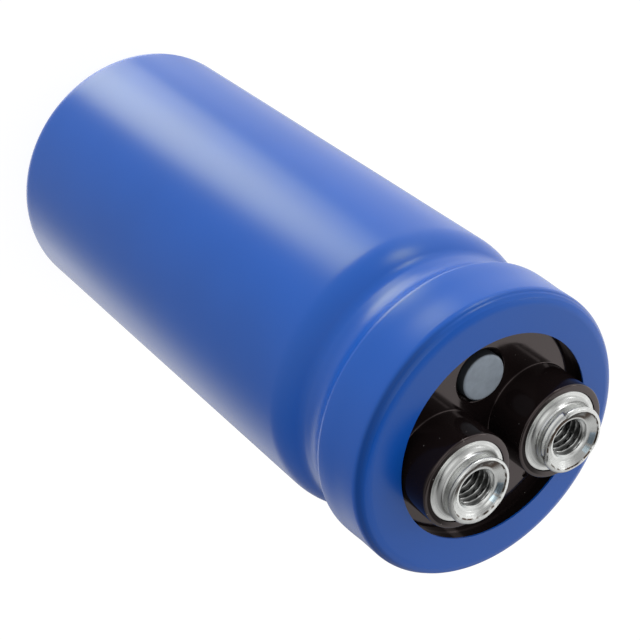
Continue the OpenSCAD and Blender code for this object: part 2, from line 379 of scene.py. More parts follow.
class SurfaceSheet(NodeSheet):
    """The nodes of a finish: its shader, the Object coordinates that its marks read, and its colour."""

    def __init__(self, tree: bpy.types.NodeTree, base: Triple) -> None:
        """Starts with the shader, the output, the coordinates and the plain colour.

        Args:
            tree: The material's node tree.
            base: The plain colour, which the tones are made from.
        """
        super().__init__(tree)
        self.shader = self.add("ShaderNodeBsdfPrincipled")
        self.add("ShaderNodeOutputMaterial", Surface=self.shader.outputs[0])
        self.where = self.add("ShaderNodeTexCoord").outputs["Object"]
        self.base = base
        self.colour: object = self.toned(1.0)

    def toned(self, tone: float) -> tuple[float, ...]:
        """The plain colour, made darker or paler by a factor."""
        return (*(min(1.0, tone * c) for c in self.base), 1.0)

    def tones(self, share: object, low: float, high: float) -> None:
        """Runs from one tone of the plain colour to another."""
        self.colour = self.blend(share, self.toned(low), self.toned(high))

    def tone(self, share: object, tone: float) -> None:
        """Mixes another tone of the plain colour into the colour so far."""
        self.colour = self.blend(share, self.colour, self.toned(tone))

    def paint(self, share: object, colour: Triple) -> None:
        """Mixes another colour into the colour so far."""
        self.colour = self.blend(share, self.colour, (*colour, 1))

    def grain(self, grain: Grain, stretch: Triple | None = None) -> Socket:
        """Gives a noise over the surface, in streaks where its coordinates are scaled."""
        return self.noise(self.vector("MULTIPLY", self.where, stretch) if stretch else self.where, grain)

    def dress(self, **inputs: object) -> None:
        """Gives the shader the colour and its other inputs."""
        self.feed(self.shader, Base_Color=self.colour, **inputs)


@dataclass(frozen=True)
class Finish:
    """A surface finish, with the values that are the same all over it."""

    name: str
    colour: Triple
    roughness: float
    metallic: float = 0.0
    ior: float = 1.5
    tint: Triple = (1.0, 1.0, 1.0)

    def build(self) -> Material:
        """Makes the material.

        Returns:
            A material with a Principled shader, dressed by this finish.
        """
        material = bpy.data.materials.new(self.name)
        material.use_nodes = True
        sheet = SurfaceSheet(material.node_tree, self.colour)
        sheet.dress(Roughness=self.roughness, Metallic=self.metallic, IOR=self.ior,
                    Specular_Tint=(*self.tint, 1))
        self.detail(sheet)
        return material

    def gloss(self, sheet: SurfaceSheet, pattern: Socket, span: Spot, factors: Spot) -> Socket:
        """Makes the roughness follow a pattern.

        Args:
            sheet: The material's nodes.
            pattern: The pattern's value.
            span: The pattern's values between which the roughness changes.
            factors: What the finish's roughness is multiplied by at each of them.

        Returns:
            The roughness.
        """
        return sheet.step(pattern, *span, *(self.roughness * factor for factor in factors))

    def detail(self, sheet: SurfaceSheet) -> None:
        """Adds the marks of this finish.

        Args:
            sheet: The material's nodes.
        """


@dataclass(frozen=True)
class ShrunkFilm(Finish):
    """Glossy heat-shrunk film, with painted shade (darker colour, less reflection) in the crease over the
    rim's corner, paler at its cut edge.
    """

    mottle: Grain = (90.0, 1.0, 0.5)
    mottle_tones: Spot = (0.93, 1.07)
    # Where and how strongly the rim corner's crease gets painted shade, strongest on one side
    corner: Spot = (15.95, 79.1)
    corner_bend: Ends = (8.0, 29.0, 34.0, 70.0)
    corner_shade_side: Sector = (165.0, 66.0, 40.0)
    corner_shade_rest: float = 0.25
    corner_shade_tone: float = 0.62
    cut_radius: Spot = (12.9, 13.6)
    cut_height: Spot = (80.62, 80.78)
    cut_tone: float = 1.4
    reflection: float = 0.4

    def detail(self, sheet: SurfaceSheet) -> None:
        """Adds uneven colour, the painted shade in the rim corner's crease and the cut edge.

        Args:
            sheet: The material's nodes.
        """
        sheet.tones(sheet.grain(self.mottle), *self.mottle_tones)
        spot = sheet.about(sheet.where)
        bend = sheet.math("ARCTAN2", sheet.math("SUBTRACT", spot.height, self.corner[1] * MM),
                          sheet.math("SUBTRACT", spot.radius, self.corner[0] * MM))
        # drawn: the mask of painted shade in the rim corner's crease
        drawn = sheet.product(sheet.band(bend, self.corner_bend, math.radians(1)),
                              sheet.facing(spot.flat, self.corner_shade_side, self.corner_shade_rest))
        cut = sheet.product(sheet.fall(spot.radius, self.cut_radius),
                            sheet.fall(spot.height, self.cut_height))
        # Painted shade in the rim corner's crease
        sheet.tone(drawn, self.corner_shade_tone)
        sheet.tone(cut, self.cut_tone)
        # The painted shade of the corner also halves the reflection there
        level = sheet.math("MULTIPLY_ADD", drawn, -0.5 * self.reflection, self.reflection)
        sheet.dress(Specular_IOR_Level=level)


@dataclass(frozen=True)
class Moulding(Finish):
    """Glossy dark thermoset moulding with dust, a faint flow pattern and dull pillar sides."""

    flow: Grain = (500.0, 4.0, 0.6)
    dust: Grain = (2400.0, 1.0, 0.5)
    dust_span: Spot = (0.77, 0.82)
    dust_colour: Triple = (0.16, 0.15, 0.14)
    skin: Grain = (900.0, 3.0, 0.5)
    skin_depth: float = 0.000002
    sides: Ends = (79.22, 79.5, 84.15, 84.43)
    # The pillars' inner rings get painted shade, by less reflection, on one side next to the flange
    ring_radius: Spot = (5.3, 5.38)
    ring_height: Spot = (84.4, 84.44)
    ring_shade_side: Sector = (170.0, 80.0, 45.0)
    reflection: float = 0.5
    dulled: float = 0.42

    def detail(self, sheet: SurfaceSheet) -> None:
        """Adds flow marks in the gloss, specks of dust, the dull sides of the pillars, and painted shade,
        by less reflection, on one side of their inner rings.

        Args:
            sheet: The material's nodes.
        """
        half = sheet.math("SIGN", sheet.add("ShaderNodeSeparateXYZ", Vector=sheet.where).outputs["X"])
        axis = sheet.add("ShaderNodeCombineXYZ", X=sheet.product(half, Side.RIGHT.axis[0] * MM)).outputs[0]
        spot = sheet.about(sheet.vector("SUBTRACT", sheet.where, axis))
        # ring: the mask of painted shade on one side of the pillars' inner rings
        ring = sheet.product(sheet.fall(spot.radius, self.ring_radius),
                             sheet.rise(spot.height, self.ring_height),
                             sheet.facing(spot.flat, self.ring_shade_side))
        # The pillars' dull sides, plus the painted shade of their inner rings
        dull_and_shade = sheet.math("MAXIMUM", sheet.band(spot.height, self.sides), ring)
        level = sheet.math("MULTIPLY_ADD", dull_and_shade, -self.dulled, self.reflection)
        sheet.paint(sheet.step(sheet.grain(self.dust), *self.dust_span), self.dust_colour)
        gloss = self.gloss(sheet, sheet.grain(self.flow), (0.3, 0.75), (0.8, 1.5))
        skin = sheet.bump(sheet.grain(self.skin), self.skin_depth)
        sheet.dress(Roughness=gloss, Specular_IOR_Level=level, Normal=skin)


@dataclass(frozen=True)
class TurnedMetal(Finish):
    """Turned metal, with fine rings round the axis of its own terminal, painted light and shade on its
    outside, painted reflections on the dish and painted shade in the bore.
    """

    axis_x: float = 0.0
    dish_shift: Spot = (0.0, 0.0)
    rings: Grain = (9000.0, 3.0, 0.7)
    ring_slant: float = 0.7
    ring_depth: float = 0.000005
    ring_tone: float = 0.35
    blotch: Grain = (700.0, 4.0, 0.6)
    blotch_tone: float = 0.86
    # Painted shade on the rise above the flange
    rise_height: Ends = (84.36, 84.41, 84.85, 85.15)
    rise_shade_tone: float = 0.78
    # Painted light on the post's outside
    outside: Spot = (3.53, 3.68)
    post_height: Ends = (84.85, 85.2, 85.98, 86.3)
    post_light_tone: float = 1.15
    # Painted shade on one side of the lip
    lip_height: Ends = (85.9, 86.2, 86.58, 86.7)
    lip_shade_side: Sector = (180.0, 40.0, 32.0)
    lip_shade_tone: float = 0.6
    mouth_height: Spot = (85.82, 85.94)
    burr_line: Ends = (3.38, 3.46, 3.53, 3.6)
    # Painted shade on the dish's near wall, on one side, blotched, in the burr's colour
    dish_shade_face: Ends = (2.48, 2.64, 3.48, 3.56)
    dish_shade_side: Sector = (98.0, 78.0, 52.0)
    burr_ragged: Grain = (1500.0, 2.0, 0.5)
    dish_shade_blotch: Grain = (1300.0, 3.0, 0.5)
    # Colour of the burr, also used for the painted shade on the dish
    burr_and_shade_colour: Triple = (0.07, 0.045, 0.03)
    dish_face: Ends = (2.75, 2.85, 3.3, 3.4)
    # Painted reflections on the dish: a blue-grey patch and a pale blue patch
    dish_reflections: tuple[tuple[Sector, Triple], ...] = (
        ((-24.0, 15.0, 11.0), (0.40, 0.50, 0.58)),
        ((-50.0, 9.0, 5.0), (0.76, 0.92, 1.0)),
    )
    # Painted shade in the bore, darkest in the thread's valleys
    bore_radius: Spot = (2.52, 2.62)
    bore_height: Spot = (85.48, 85.58)
    valley: Spot = (2.04, 2.14)
    valley_share: float = 0.25
    bore_shade_tone: float = 0.14

    def detail(self, sheet: SurfaceSheet) -> None:
        """Adds the tool's rings and blotches, then the painted light and shade of the post, the burr and
        the painted shade and reflections of the mouth, and the painted shade of the bore.

        Args:
            sheet: The material's nodes.
        """
        spot = sheet.about(sheet.vector("SUBTRACT", sheet.where, (self.axis_x * MM, 0, 0)))
        along = sheet.math("ADD", spot.radius, sheet.product(spot.height, self.ring_slant))
        scale, detail, rough = self.rings
        rings = sheet.add("ShaderNodeTexNoise", {"noise_dimensions": "1D"}, W=along, Scale=scale,
                          Detail=detail, Roughness=rough).outputs["Fac"]
        blotch = sheet.grain(self.blotch)
        gloss = sheet.math("ADD", self.gloss(sheet, rings, (0.3, 0.7), (0.8, 1.25)),
                           sheet.step(blotch, 0.35, 0.75, 0.0, 0.08))
        sheet.tone(sheet.step(blotch, 0.35, 0.8), self.blotch_tone)
        sheet.tone(sheet.step(rings, 0.36, 0.47, 0.15, 0.0), self.ring_tone)
        self.post(sheet, spot)
        self.mouth(sheet, spot)
        self.bore(sheet, spot)
        sheet.dress(Roughness=gloss, Normal=sheet.bump(rings, self.ring_depth))

    def post(self, sheet: SurfaceSheet, spot: Around) -> None:
        """Adds the painted light and shade of the outside: painted shade above the flange, painted light on
        the post and painted shade on one side of the lip.

        Args:
            sheet: The material's nodes.
            spot: Where the point lies round the terminal.
        """
        outside = sheet.rise(spot.radius, self.outside)
        # The side of the lip that takes painted shade
        shaded_lip = sheet.facing(spot.flat, self.lip_shade_side)
        # Painted shade above the flange, painted light on the post, painted shade on one side of the lip
        sheet.tone(sheet.band(spot.height, self.rise_height), self.rise_shade_tone)
        sheet.tone(sheet.product(sheet.band(spot.height, self.post_height), outside), self.post_light_tone)
        sheet.tone(sheet.product(sheet.band(spot.height, self.lip_height), shaded_lip, outside), self.lip_shade_tone)

    def mouth(self, sheet: SurfaceSheet, spot: Around) -> None:
        """Adds the burr inside the lip, painted shade on one side of the dish and painted reflections on
        the dish.

        Args:
            sheet: The material's nodes.
            spot: Where the point lies round the terminal.
        """
        centre = (*(MM * shift for shift in self.dish_shift), 0.0)
        dish = sheet.vector("LENGTH", sheet.vector("SUBTRACT", spot.flat, centre))
        above = sheet.rise(spot.height, self.mouth_height)
        ragged = sheet.step(sheet.grain(self.burr_ragged), 0.40, 0.52)
        blotched = sheet.step(sheet.grain(self.dish_shade_blotch), 0.33, 0.5, 0.6, 0.97)
        line = sheet.product(sheet.band(dish, self.burr_line), ragged)
        # face: the mask of painted shade on one side of the dish
        face = sheet.product(sheet.band(dish, self.dish_shade_face),
                             sheet.facing(spot.flat, self.dish_shade_side), blotched)
        # The burr's ring and the painted shade of the dish, in one dark colour
        sheet.paint(sheet.product(sheet.math("MAXIMUM", line, face), above), self.burr_and_shade_colour)
        dish_face = sheet.product(sheet.band(dish, self.dish_face), above)
        # Painted reflections on the dish's face
        for sector, reflection_colour in self.dish_reflections:
            sheet.paint(sheet.product(dish_face, sheet.facing(spot.flat, sector)), reflection_colour)

    def bore(self, sheet: SurfaceSheet, spot: Around) -> None:
        """Adds painted shade in the bore, which is darkest in the thread's valleys.

        Args:
            sheet: The material's nodes.
            spot: Where the point lies round the terminal.
        """
        inside = sheet.product(sheet.fall(spot.radius, self.bore_radius),
                               sheet.fall(spot.height, self.bore_height))
        valley = sheet.step(spot.radius, *(r * MM for r in self.valley), self.valley_share, 1.0)
        # Painted shade in the bore
        sheet.tone(sheet.product(inside, valley), self.bore_shade_tone)


@dataclass(frozen=True)
class SoftRubber(Finish):
    """Matte rubber with a fine grain, pale bloom on its top and painted shade on its side."""

    bloom: Grain = (900.0, 4.0, 0.65)
    bloom_tones: Spot = (0.90, 1.07)
    # Painted shade on the side, below this height
    side: Spot = (79.6, 79.76)
    side_shade_tone: float = 0.10
    fine: Grain = (6000.0, 3.0, 0.5)
    fine_depth: float = 0.000006

    def detail(self, sheet: SurfaceSheet) -> None:
        """Adds grain, uneven bloom and the painted shade on the side.

        Args:
            sheet: The material's nodes.
        """
        sheet.tones(sheet.step(sheet.grain(self.bloom), 0.3, 0.7), *self.bloom_tones)
        # Painted shade on the side
        sheet.tone(sheet.fall(sheet.about(sheet.where).height, self.side), self.side_shade_tone)
        sheet.dress(Normal=sheet.bump(sheet.grain(self.fine), self.fine_depth))


@dataclass(frozen=True)
class DrawnAluminium(Finish):
    """Deep-drawn aluminium, with draw lines up the wall and a blotchy dull bloom."""

    stretch: Triple = (1.0, 1.0, 0.02)
    lines: Grain = (3500.0, 3.0, 0.6)
    line_depth: float = 0.000004
    bloom: Grain = (240.0, 3.0, 0.5)

    def detail(self, sheet: SurfaceSheet) -> None:
        """Adds the draw lines and the bloom.

        Args:
            sheet: The material's nodes.
        """
        drawn, bloom = sheet.grain(self.lines, self.stretch), sheet.grain(self.bloom)
        sheet.tone(sheet.step(bloom, 0.3, 0.75), 0.8)
        sheet.tone(sheet.step(drawn, 0.3, 0.45, 0.35, 0.0), 0.5)
        gloss = sheet.math("ADD", self.gloss(sheet, drawn, (0.3, 0.7), (0.8, 1.2)),
                           sheet.step(bloom, 0.35, 0.75, 0.0, 0.12))
        sheet.dress(Roughness=gloss, Normal=sheet.bump(drawn, self.line_depth))


@dataclass(frozen=True)
class RolledFoil(Finish):
    """Thin rolled foil strip, with rolling lines along it and soft creases across."""

    stretch: Triple = (0.05, 1.0, 0.05)
    lines: Grain = (4500.0, 2.0, 0.5)
    creases: Grain = (420.0, 2.0, 0.5)
    crease_depth: float = 0.00008

    def detail(self, sheet: SurfaceSheet) -> None:
        """Adds the rolling lines and the creases.

        Args:
            sheet: The material's nodes.
        """
        sheet.tones(sheet.step(sheet.grain(self.lines, self.stretch), 0.35, 0.6), 0.78, 1.0)
        creases = sheet.grain(self.creases)
        gloss = self.gloss(sheet, creases, (0.3, 0.7), (0.7, 1.3))
        sheet.dress(Roughness=gloss, Normal=sheet.bump(creases, self.crease_depth))


@dataclass(frozen=True)
class WoundPaper(Finish):
    """The end and side of a roll of paper and foil, damp with electrolyte."""

    foil: Triple = (0.45, 0.45, 0.44)
    turn: float = 0.35
    turn_part: Spot = (0.32, 0.42)
    wander: Grain = (180.0, 2.0, 0.5)
    wander_part: float = 0.6
    end: Ends = (2.22, 2.26, 15.94, 15.98)
    stretch: Triple = (1.0, 1.0, 0.2)
    fibres: Grain = (2600.0, 4.0, 0.7)
    fibre_depth: float = 0.00002
    damp: Grain = (130.0, 3.0, 0.5)
    damp_gloss: float = 0.35

    def detail(self, sheet: SurfaceSheet) -> None:
        """Adds the turns of the roll on its ends, and fibres and damp patches all over.

        Args:
            sheet: The material's nodes.
        """
        turn = self.turn * MM
        radius = sheet.about(sheet.where).radius
        wander = sheet.math("MULTIPLY_ADD", sheet.grain(self.wander), self.wander_part * turn, radius)
        turns = sheet.math("PINGPONG", wander, 0.5 * turn)
        foil = sheet.step(turns, *(part * turn for part in self.turn_part))
        fibres = sheet.grain(self.fibres, self.stretch)
        damp = sheet.step(sheet.grain(self.damp), 0.42, 0.62)
        sheet.paint(sheet.product(foil, sheet.band(radius, self.end)), self.foil)
        sheet.tone(sheet.step(fibres, 0.3, 0.6, 0.4, 0.0), 0.62)
        sheet.tone(sheet.product(damp, 0.55), 0.5)
        gloss = sheet.math("MULTIPLY_ADD", damp, -self.damp_gloss, self.roughness)
        sheet.dress(Roughness=gloss, Normal=sheet.bump(fibres, self.fibre_depth))


@dataclass(frozen=True)
class FibreBoard(Finish):
    """Pressed fibre board with flecks."""

    stretch: Triple = (1.0, 0.25, 1.0)
    fibres: Grain = (2200.0, 5.0, 0.7)
    fibre_depth: float = 0.00003
    fibre_gloss: float = 0.08
    flecks: Grain = (1500.0, 1.0, 0.5)

    def detail(self, sheet: SurfaceSheet) -> None:
        """Adds the fibres, the flecks and a pressed skin.

        Args:
            sheet: The material's nodes.
        """
        fibres = sheet.grain(self.fibres, self.stretch)
        flecks = sheet.step(sheet.grain(self.flecks), 0.68, 0.74)
        sheet.tones(sheet.step(fibres, 0.3, 0.7), 0.78, 1.08)
        sheet.tone(sheet.product(flecks, 0.6), 0.4)
        smoothest, roughest = self.roughness - self.fibre_gloss, self.roughness + self.fibre_gloss
        gloss = sheet.step(fibres, 0.3, 0.7, smoothest, roughest)
        sheet.dress(Roughness=gloss, Normal=sheet.bump(fibres, self.fibre_depth))


@dataclass(frozen=True)
class TapeFilm(Finish):
    """Clear-brown closing tape, glossy, with lengthwise streaks of its glue."""

    stretch: Triple = (0.15, 0.15, 1.0)
    streaks: Grain = (1900.0, 3.0, 0.5)
    air: Grain = (520.0, 2.0, 0.5)
    air_depth: float = 0.00002

    def detail(self, sheet: SurfaceSheet) -> None:
        """Adds the glue's streaks and trapped air.

        Args:
            sheet: The material's nodes.
        """
        streaks = sheet.grain(self.streaks, self.stretch)
        air = sheet.step(sheet.grain(self.air), 0.6, 0.68)
        sheet.tones(sheet.step(streaks, 0.3, 0.7), 0.82, 1.1)
        sheet.tone(sheet.product(air, 0.5), 1.6)
        gloss = self.gloss(sheet, streaks, (0.3, 0.7), (0.8, 1.3))
        sheet.dress(Roughness=gloss, Normal=sheet.bump(air, self.air_depth))


@dataclass
class ShrinkSleeve:
    """The blue film round the can: base fold, wall, bridged groove, rim corner and front face."""

    finish: Material
    film: float = FILM
    base_edge: float = 2.6
    bead_drop: float = 7.3
    bead_depth: float = 1.4
    bead_hollow: float = 6.0
    bead_flat: float = 0.65
    slope: float = 3.0
    shoulder: float = 7.0
    bead_edge: float = 0.8
    rim_corner: float = 1.7
    base_fold: float = 5.0
    opening: float = 12.6
    wave: float = 0.02
    wave_foot: Spot = (0.5, 4.5)
    wave_head: Spot = (0.8, 3.8)
    wave_scale: Spot = (2.6, 0.055)
    folds: tuple[Triple, ...] = ((0.04, 56.0, 5.0), (-0.06, 31.0, 6.0))
    rim_taper: float = 0.11
    taper_rise: Spot = (0.4, 3.4)
    outer_chord: float = 0.95
    inner_chord: float = 5.0
    around: int = 256
    radius: float = field(init=False)
    top: float = field(init=False)

    def __post_init__(self) -> None:
        """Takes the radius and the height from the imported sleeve."""
        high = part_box("insulating_sleeve")[1]
        self.radius, self.top = high.x / MM, high.z / MM

    def skin(self, inset: float) -> Outline:
        """Outline of the film from the base edge to the rim.

        Args:
            inset: How far inside the film's outer face it lies, in millimetres.

        Returns:
            The outline's points, upwards.
        """
        wall, can, can_top = self.radius, self.radius - self.film, self.top - self.film
        off = self.film - inset
        edge = (can - self.bead_edge, can_top - self.bead_drop)
        hollow_r = can - self.bead_depth + self.bead_hollow
        hollow_drop = math.sqrt((self.bead_hollow + self.bead_edge) ** 2 - (hollow_r - edge[0]) ** 2)
        hollow = (hollow_r, edge[1] - hollow_drop)
        slope = (can - self.bead_depth + self.slope, hollow[1] - self.bead_flat)
        shoulder_r = can - self.shoulder
        shoulder_drop = math.sqrt((self.slope + self.shoulder) ** 2 - (slope[0] - shoulder_r) ** 2)
        shoulder = (shoulder_r, slope[1] - shoulder_drop)
        up = math.degrees(math.atan2(slope[1] - shoulder[1], slope[0] - shoulder_r))
        back = math.degrees(math.atan2(edge[1] - hollow[1], hollow_r - edge[0]))
        return (
            arc((wall - self.base_edge, self.base_edge), self.base_edge - inset, -90, 0, 16)
            + arc(shoulder, self.shoulder + off, 0, up, 24)
            + arc(slope, self.slope - off, 180 + up, 180, 18)
            + arc(hollow, self.bead_hollow - off, 180, 180 - back, 16)
            + arc(edge, self.bead_edge + off, -back, 0, 14)
            + arc((wall - self.rim_corner, self.top - self.rim_corner), self.rim_corner - inset, 0, 90, 45)
        )

    def shrink(self, turn: float, r: float, z: float) -> Spot:
        """Gives the shrunk film its soft waves, and the crease and ridge on the rim's corner.

        Args:
            turn: Angle round the can.
            r: Radius of the point, in millimetres.
            z: Height of the point.

        Returns:
            The changed radius and height.
        """
        x, y = math.cos(turn), math.sin(turn)
        across, along = self.wave_scale
        held = ramp(z, *self.wave_foot) * ramp(self.top - z, *self.wave_head)
        swell = self.wave * held * noise.noise(Vector((across * x, across * y, along * z)))
        corner = self.radius - self.rim_corner
        out, rise = r - corner, z - (self.top - self.rim_corner)
        over_bead = z - (self.top - self.film - self.bead_drop)
        swell -= self.rim_taper * smooth(over_bead, *self.taper_rise) * smooth(out, 0.0, self.rim_corner)
        if rise > 0 and out <= 0:
            pull = 1.0 - smooth(r, self.opening, corner)
            return r + pull * (OFF_CENTRE[0] * x + OFF_CENTRE[1] * y), z
        if rise <= 0:
            return r + swell, z
        bend = math.degrees(math.atan2(rise, out))
        lift = sum(height * math.exp(-((bend - place) / width) ** 2) for height, place, width in self.folds)
        lift *= 0.75 + 0.5 * noise.noise(Vector((1.4 * x + 3, 1.4 * y, 0)))
        return r + swell + lift * math.cos(math.radians(bend)), z + lift * math.sin(math.radians(bend))

    def build(self) -> None:
        """Turns the film's closed outline and dresses it."""
        fold = self.radius - self.film - self.base_fold
        outer = [(fold, 0.0)] + self.skin(0.0) + [(self.opening, self.top)]
        inner = [(self.opening, self.top - self.film)] + self.skin(self.film)[::-1] + [(fold, self.film)]
        outline = refine(outer, self.outer_chord) + refine(inner, self.inner_chord)
        mesh = bmesh.new()
        lathe(mesh, outline, self.around, wobble=self.shrink, closed=True)
        place(finish_mesh(mesh, "blue_sleeve"), self.finish, "blue_sleeve", "insulating_sleeve")


@dataclass
class ThreadedBore:
    """The tapped hole of a terminal, made by a node tree that winds the thread."""

    around: int
    crest: float = 2.02
    root: float = 2.415
    pitch: float = 0.794
    top: float = 85.975
    bottom: float = 77.23
    countersink_end: float = 85.58
    runout: float = 1.6
    runout_fade: float = 1.5
    flank: Spot = (0.14, 0.88)
    rows: int = 180
    seam: float = 1e-7

    def tree(self) -> bpy.types.NodeTree:
        """Builds the node tree that turns a grid into a threaded wall.

        Returns:
            The tree, whose inputs are the thread's sizes in metres.
        """
        tree = bpy.data.node_groups.new("threaded_bore", "GeometryNodeTree")
        face = tree.interface
        for name in ("Crest Radius", "Root Radius", "Pitch", "Top", "Bottom", "Countersink End", "Runout"):
            face.new_socket(name, in_out="INPUT", socket_type="NodeSocketFloat")
        face.new_socket("Material", in_out="INPUT", socket_type="NodeSocketMaterial")
        face.new_socket("Geometry", in_out="OUTPUT", socket_type="NodeSocketGeometry")
        sheet = NodeSheet(tree)
        sizes = sheet.add("NodeGroupInput").outputs
        crest, bottom = sizes["Crest Radius"], sizes["Bottom"]
        grid = sheet.add("GeometryNodeMeshGrid", Size_X=1.0, Size_Y=1.0,
                         Vertices_X=self.around + 1, Vertices_Y=self.rows)
        spot = sheet.add("ShaderNodeSeparateXYZ", Vector=sheet.add("GeometryNodeInputPosition").outputs[0])
        share = sheet.math("ADD", spot.outputs["X"], 0.5)
        turn = sheet.math("MULTIPLY", share, math.tau)
        span = sheet.math("SUBTRACT", sizes["Top"], bottom)
        height = sheet.math("MULTIPLY_ADD", sheet.math("ADD", spot.outputs["Y"], 0.5), span, bottom)
        turns = sheet.math("SUBTRACT", sheet.math("DIVIDE", height, sizes["Pitch"]), share)
        flank = sheet.math("ABSOLUTE", sheet.math("MULTIPLY_ADD", sheet.math("FRACT", turns), 2.0, -1.0))
        cut = sheet.add("ShaderNodeMapRange", {"interpolation_type": "LINEAR"},
                        Value=flank, From_Min=self.flank[0], From_Max=self.flank[1]).outputs[0]
        full = sheet.math("MULTIPLY", sizes["Runout"], self.runout_fade)
        started = sheet.step(sheet.math("SUBTRACT", height, bottom), sizes["Runout"], full)
        depth = sheet.math("SUBTRACT", sizes["Root Radius"], crest)
        thread = sheet.math("MULTIPLY_ADD", sheet.math("MULTIPLY", cut, started), depth, crest)
        cone = sheet.math("ADD", crest, sheet.math("SUBTRACT", height, sizes["Countersink End"]))
        radius = sheet.math("MAXIMUM", thread, cone)
        x = sheet.math("MULTIPLY", radius, sheet.math("COSINE", turn))
        y = sheet.math("MULTIPLY", radius, sheet.math("SINE", turn))
        point = sheet.add("ShaderNodeCombineXYZ", X=x, Y=y, Z=height).outputs[0]
        moved = sheet.add("GeometryNodeSetPosition", Geometry=grid.outputs[0], Position=point)
        closed = sheet.add("GeometryNodeMergeByDistance", Geometry=moved.outputs[0], Distance=self.seam)
        whole = sheet.add("GeometryNodeRealizeInstances", Geometry=closed.outputs[0])
        dressed = sheet.add("GeometryNodeSetMaterial", Geometry=whole.outputs[0],
                            Material=sizes["Material"])
        sheet.add("NodeGroupOutput", i0=dressed.outputs[0])
        return tree

    def build(self, finish: Material) -> bpy.types.Mesh:
        """Runs the tree and gives its result.

        Args:
            finish: The metal's material.

        Returns:
            The threaded wall round the origin's axis, as a plain mesh.
        """
        tree = bpy.data.node_groups.get("threaded_bore") or self.tree()
        carrier = bpy.data.objects.new("bore_tool", bpy.data.meshes.new("bore_tool"))
        bpy.context.scene.collection.objects.link(carrier)
        modifier = carrier.modifiers.new("thread", "NODES")
        modifier.node_group = tree
        values = {
            "Crest Radius": self.crest, "Root Radius": self.root, "Pitch": self.pitch, "Top": self.top,
            "Bottom": self.bottom, "Countersink End": self.countersink_end, "Runout": self.runout,
        }
        for item in tree.interface.items_tree:
            if item.name in values:
                modifier[item.identifier] = values[item.name] * MM
            elif item.name == "Material":
                modifier[item.identifier] = finish
        graph = bpy.context.evaluated_depsgraph_get()
        made = bpy.data.meshes.new_from_object(carrier.evaluated_get(graph))
        bpy.data.objects.remove(carrier)
        return made


